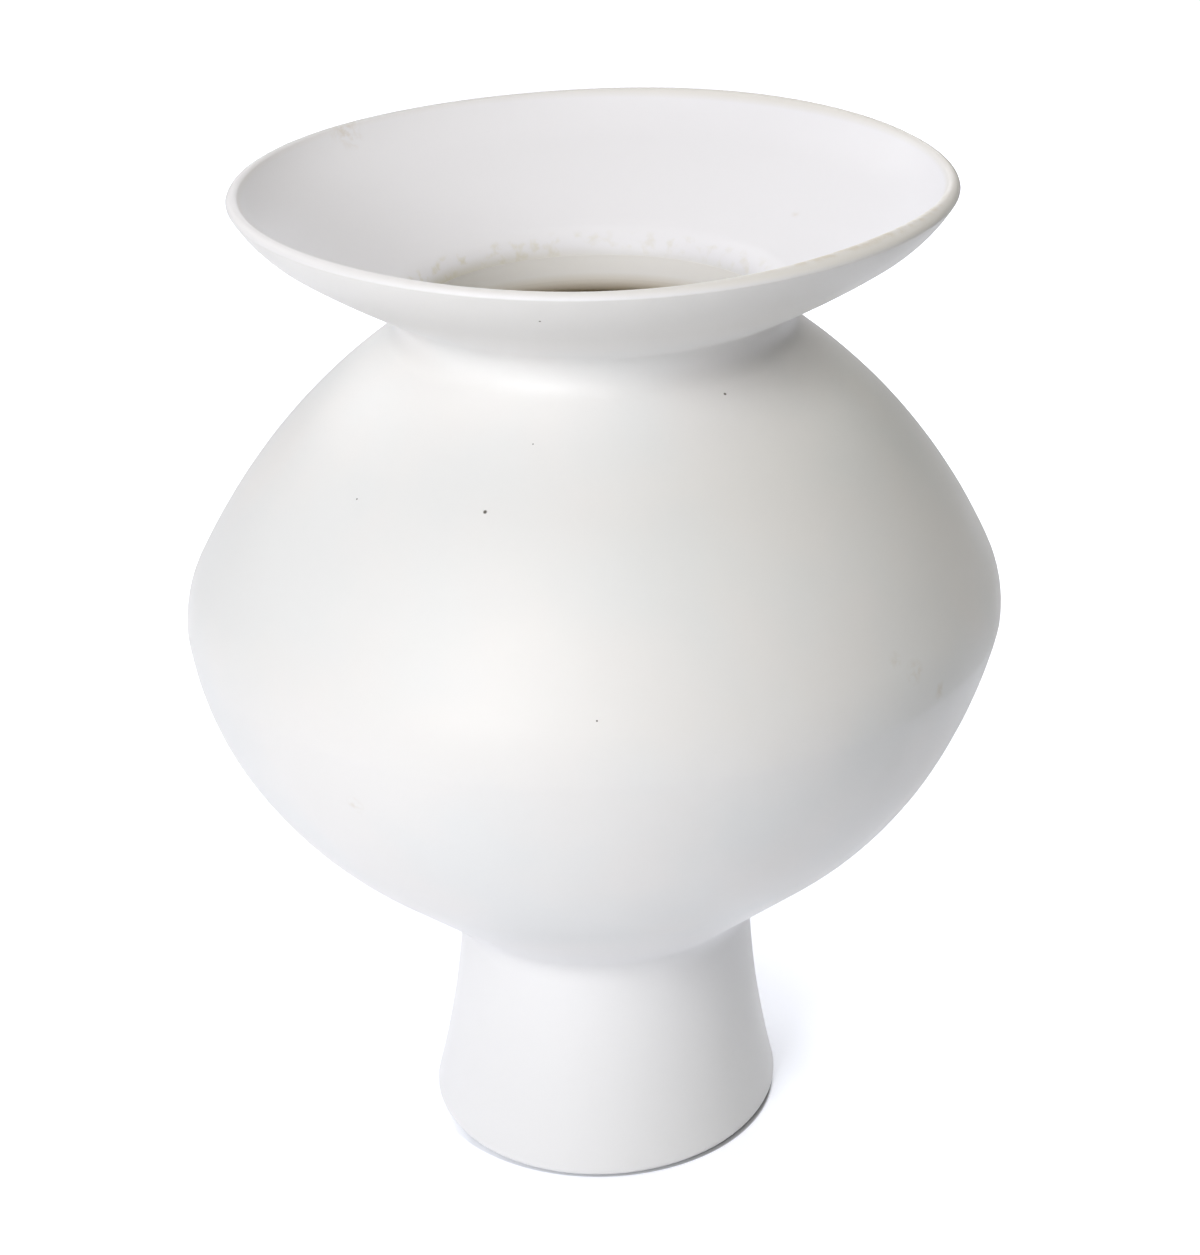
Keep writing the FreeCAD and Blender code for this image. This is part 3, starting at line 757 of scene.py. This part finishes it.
# A painted shadow: under the foot's edge the paint is darker, more so to the right, and the glow falls
# away there.
painted_gap_shadow = where(tree, (from_foot, *painted_shadow_reach), (across, *painted_shadow_side))
painted_gap_shadow_tone = tinted(tree, from_hex("#EEF0F5"), (where(tree, (across, *painted_shadow_dark_side)), from_hex("#A2A2A5")))
paint = add(tree, "ShaderNodeBsdfDiffuse", [tinted(tree, from_hex("#F0F2F7"), (painted_gap_shadow, painted_gap_shadow_tone))])
beside = where(tree, (painted_gap_shadow, 1.0, 0.0), share=near_glow)
beyond = where(tree, (apart, *far_glow_fade), share=far_glow)
seen_glow = add(tree, "ShaderNodeMath", [beside, beyond])
strength = add(tree, "ShaderNodeMix", {0: rays["Is Camera Ray"], 2: 1.0, 3: seen_glow})
glow = add(tree, "ShaderNodeEmission", [from_hex("#F4F5FF"), strength])
white = add(tree, "ShaderNodeAddShader", [paint, glow])
seen = add(tree, "ShaderNodeMath", [rays["Is Camera Ray"], rays["Is Glossy Ray"]], operation="MAXIMUM")
add(tree, "ShaderNodeOutputMaterial", [add(tree, "ShaderNodeMixShader", [seen, paint, white])])
floor_mesh.materials.append(floor_white)

# Backdrop
# White to the camera, and almost dark to the jar, which its lamps light.
dark_share = 0.02
world = bpy.data.worlds.new("studio")
bpy.context.scene.world = world
world.use_nodes = True
tree = world.node_tree
tree.nodes.clear()
camera_ray = add(tree, "ShaderNodeLightPath", output="Is Camera Ray")
strength = add(tree, "ShaderNodeMapRange", {"Value": camera_ray, "To Min": dark_share})
backdrop = add(tree, "ShaderNodeBackground", [from_hex("#FFFFFF"), strength])
add(tree, "ShaderNodeOutputWorld", [backdrop])

# Lamps
# Large soft squares all round, the strongest from the front left, as the photo's shading shows.
# Sizes and distances here are in metres, powers in watts.
lamp_aim = Vector((0, 0, 0.2))
lamp_distance = 1.5


def lamp(name, azimuth, elevation, size, power, colour=(1, 1, 1)):
    """A soft square studio lamp, aimed at the jar. The azimuth is in degrees from the front,
    positive to the right."""
    light = bpy.data.lights.new(name, "AREA")
    light.size = size
    light.energy = power
    light.color = colour
    item = bpy.data.objects.new(name, light)
    turn, rise = math.radians(azimuth), math.radians(elevation)
    away = Vector((math.sin(turn) * math.cos(rise), -math.cos(turn) * math.cos(rise), math.sin(rise)))
    item.location = lamp_aim + away * lamp_distance
    item.rotation_mode = "QUATERNION"
    item.rotation_quaternion = away.to_track_quat("Z", "Y")
    bpy.context.scene.collection.objects.link(item)


lamp("key", -32, 27, 0.6, 12.4)
lamp("front_top", -10, 35, 0.7, 4.0, (0.97, 0.98, 1.0))
lamp("overhead", 0, 88, 0.8, 4.2, (1.0, 0.97, 0.97))
lamp("right_fill", 75, 48, 0.8, 2.3, (1.0, 0.97, 0.75))
lamp("back", 180, 14, 0.8, 6.8, (0.92, 0.94, 1.0))
lamp("back_left", -135, 30, 0.8, 6.6)
lamp("back_right", 135, 38, 0.8, 3.9)

# Camera
# Placed as the photo was taken: about a metre away, looking down on the mouth. The focal length
# is in pixels of the photo, the place in metres and the angles in degrees.
photo_width = 1200
focal_length = 2713.4
sensor_width = 36.0
camera_place = (0.001, -0.89859, 0.60659)
camera_yaw = -0.064
camera_pitch = -24.806
camera_roll = -1.159
nearest_seen = 0.05
camera_data = bpy.data.cameras.new("camera")
camera_data.sensor_fit = "HORIZONTAL"
camera_data.sensor_width = sensor_width
camera_data.lens = sensor_width * focal_length / photo_width
camera_data.clip_start = nearest_seen
camera = bpy.data.objects.new("camera", camera_data)
camera.matrix_world = (Matrix.Translation(camera_place)
                       @ Matrix.Rotation(math.radians(camera_yaw), 4, "Z")
                       @ Matrix.Rotation(math.radians(90 + camera_pitch), 4, "X")
                       @ Matrix.Rotation(math.radians(camera_roll), 4, "Z"))
bpy.context.scene.collection.objects.link(camera)
bpy.context.scene.camera = camera
bpy.context.scene.view_settings.view_transform = "Standard"
